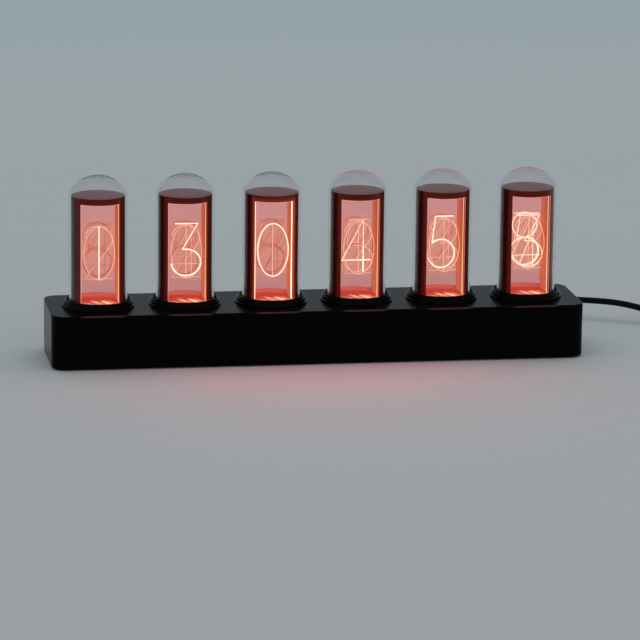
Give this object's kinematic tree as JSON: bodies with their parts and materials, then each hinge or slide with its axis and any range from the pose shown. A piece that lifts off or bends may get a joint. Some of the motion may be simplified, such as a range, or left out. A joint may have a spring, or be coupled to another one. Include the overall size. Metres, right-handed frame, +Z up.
{
  "type": "nixie tube clock",
  "caption": "Desk clock with digit tubes on a low black bar: domed glass covers over windowed sleeves with edge-lit digit plates, push buttons and a power lead.",
  "frame": {"origin": "on the desk, under the middle of the housing", "axes": "+X along the housing to the viewer's right, -Y is the front with the digits upright and readable, +Z is up"},
  "size_m": [0.4139, 0.1114, 0.0958],
  "materials": {
    "anodised_black": "satin black anodised, with a machined edge",
    "collar_black": "semi-gloss black anodised, turned",
    "clear_glass": "clear polished glass",
    "sleeve_dark": "dark satin tube, warmed by the light inside",
    "light_plate": "clear acrylic plates, polished edges",
    "holder_red": "satin moulded, glowing from the lamps under it",
    "button_black": "satin black",
    "circuit_board": "green solder mask",
    "dark_plastic": "moulded black",
    "steel": "bright zinc or nickel",
    "foot_rubber": "soft matt black",
    "tie_rubber": "soft matt black",
    "lead_rubber": "satin black jacket"
  },
  "bodies": {
    "base": {"housing": "anodised_black", "bottom_cover": "anodised_black", "cover_screws": "steel", "feet": "foot_rubber", "main_board": "circuit_board", "board_screws": "steel", "board_chips": "dark_plastic", "board_sockets": "dark_plastic", "battery_holder": "dark_plastic", "coin_cell": "steel", "usb_jack": "steel", "switch_bodies": "dark_plastic", "cord_plug": "lead_rubber", "cord_plug_shell": "steel", "cord_run": "lead_rubber", "cord_coil": "lead_rubber", "cord_tie": "tie_rubber", "supply_plug": "lead_rubber", "supply_plug_shell": "steel", "collar_1": "collar_black", "collar_2": "collar_black", "collar_3": "collar_black", "collar_4": "collar_black", "collar_5": "collar_black", "collar_6": "collar_black", "sleeve_1": "sleeve_dark", "sleeve_2": "sleeve_dark", "sleeve_3": "sleeve_dark", "sleeve_4": "sleeve_dark", "sleeve_5": "sleeve_dark", "sleeve_6": "sleeve_dark", "digit_plates_1": "light_plate", "digit_plates_2": "light_plate", "digit_plates_3": "light_plate", "digit_plates_4": "light_plate", "digit_plates_5": "light_plate", "digit_plates_6": "light_plate", "plate_holder_1": "holder_red", "plate_holder_2": "holder_red", "plate_holder_3": "holder_red", "plate_holder_4": "holder_red", "plate_holder_5": "holder_red", "plate_holder_6": "holder_red", "led_board_1": "circuit_board", "led_board_2": "circuit_board", "led_board_3": "circuit_board", "led_board_4": "circuit_board", "led_board_5": "circuit_board", "led_board_6": "circuit_board"},
    "mode_key": {"button_mode": "button_black"},
    "plus_key": {"button_plus": "button_black"},
    "minus_key": {"button_minus": "button_black"},
    "glass_1": {"glass_cover_1": "clear_glass"},
    "glass_2": {"glass_cover_2": "clear_glass"},
    "glass_3": {"glass_cover_3": "clear_glass"},
    "glass_4": {"glass_cover_4": "clear_glass"},
    "glass_5": {"glass_cover_5": "clear_glass"},
    "glass_6": {"glass_cover_6": "clear_glass"}
  },
  "joints": [
    {"name": "mode_press", "type": "slide", "parent": "base", "child": "mode_key", "axis": [0, -1, 0], "range_m": [0, 0.0006], "stiffness_N_per_m": 400},
    {"name": "plus_press", "type": "slide", "parent": "base", "child": "plus_key", "axis": [0, -1, 0], "range_m": [0, 0.0006], "stiffness_N_per_m": 400},
    {"name": "minus_press", "type": "slide", "parent": "base", "child": "minus_key", "axis": [0, -1, 0], "range_m": [0, 0.0006], "stiffness_N_per_m": 400},
    {"name": "glass_1_lift", "type": "slide", "parent": "base", "child": "glass_1", "axis": [0, 0, 1], "range_m": [0, 0.07]},
    {"name": "glass_2_lift", "type": "slide", "parent": "base", "child": "glass_2", "axis": [0, 0, 1], "range_m": [0, 0.07]},
    {"name": "glass_3_lift", "type": "slide", "parent": "base", "child": "glass_3", "axis": [0, 0, 1], "range_m": [0, 0.07]},
    {"name": "glass_4_lift", "type": "slide", "parent": "base", "child": "glass_4", "axis": [0, 0, 1], "range_m": [0, 0.07]},
    {"name": "glass_5_lift", "type": "slide", "parent": "base", "child": "glass_5", "axis": [0, 0, 1], "range_m": [0, 0.07]},
    {"name": "glass_6_lift", "type": "slide", "parent": "base", "child": "glass_6", "axis": [0, 0, 1], "range_m": [0, 0.07]}
  ]
}
